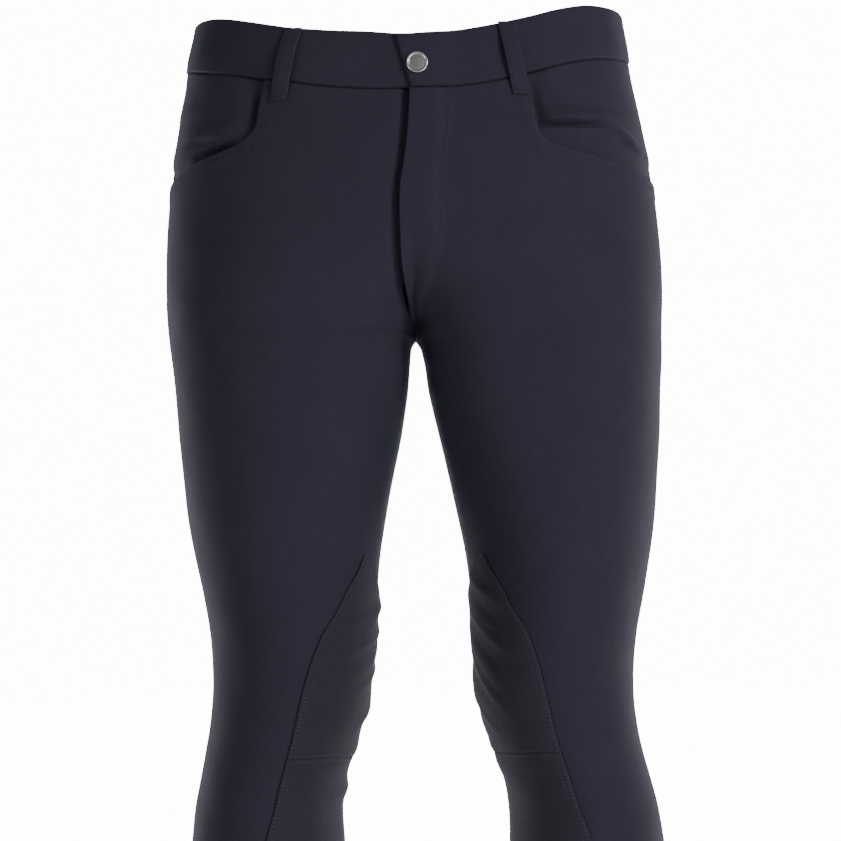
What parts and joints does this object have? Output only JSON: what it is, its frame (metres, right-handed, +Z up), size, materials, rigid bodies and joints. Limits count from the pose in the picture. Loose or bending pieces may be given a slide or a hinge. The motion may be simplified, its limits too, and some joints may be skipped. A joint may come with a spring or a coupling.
{
  "type": "riding breeches",
  "caption": "Close-fitting stretch-cotton riding breeches in worn shape, hollow, with waistband, snap, belt loops, fly, scoop pockets and suede inner-knee patches.",
  "frame": {"origin": "middle of the waist, 3 mm below the waistband's top edge at the centre front, where the wearer holds the breeches up", "axes": "+Z up the legs to the waist, the front faces -Y, the wearer's left is +X"},
  "size_m": [0.3742, 0.2341, 0.9181],
  "materials": {
    "cloth": "matt fine twill with a soft bluish sheen",
    "patch": "napped suede-like cloth",
    "snap": "satin nickel"
  },
  "bodies": {
    "root": {"front_left": "cloth", "front_right": "cloth", "back_left": "cloth", "back_right": "cloth", "pocket_facing_left": "cloth", "pocket_facing_right": "cloth", "waistband_left": "cloth", "waistband_right": "cloth", "belt_loop_front_left": "cloth", "belt_loop_front_right": "cloth", "belt_loop_back_left": "cloth", "belt_loop_back_right": "cloth", "belt_loop_back_centre": "cloth", "knee_patch_upper_left": "patch", "knee_patch_upper_right": "patch", "knee_patch_lower_left": "patch", "knee_patch_lower_right": "patch", "snap_cap": "snap"}
  },
  "joints": []
}
